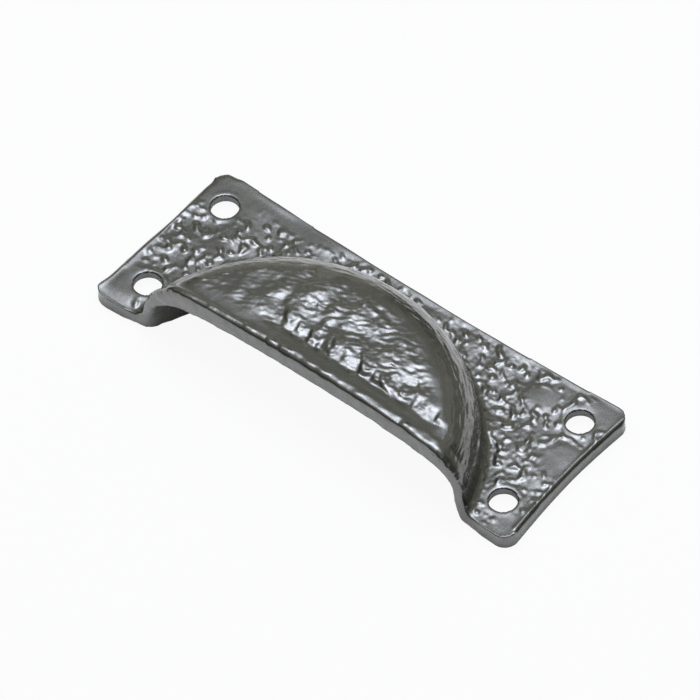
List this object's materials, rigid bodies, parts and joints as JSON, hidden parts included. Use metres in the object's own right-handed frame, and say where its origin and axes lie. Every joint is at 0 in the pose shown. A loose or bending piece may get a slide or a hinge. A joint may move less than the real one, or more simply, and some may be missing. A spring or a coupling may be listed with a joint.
{
  "type": "cup pull",
  "caption": "Hammered cast-iron cup pull: a waisted screw plate with a half-round finger cup that opens along one long edge.",
  "frame": {"origin": "middle of the plate's back face, which lies on the drawer front", "axes": "+X along the pull, -Y out of the cup's mouth, +Z away from the drawer front"},
  "size_m": [0.103, 0.039, 0.0187],
  "materials": {
    "cast_iron": "dark waxed hammered casting"
  },
  "bodies": {
    "root": {"cup_pull": "cast_iron"}
  },
  "joints": []
}
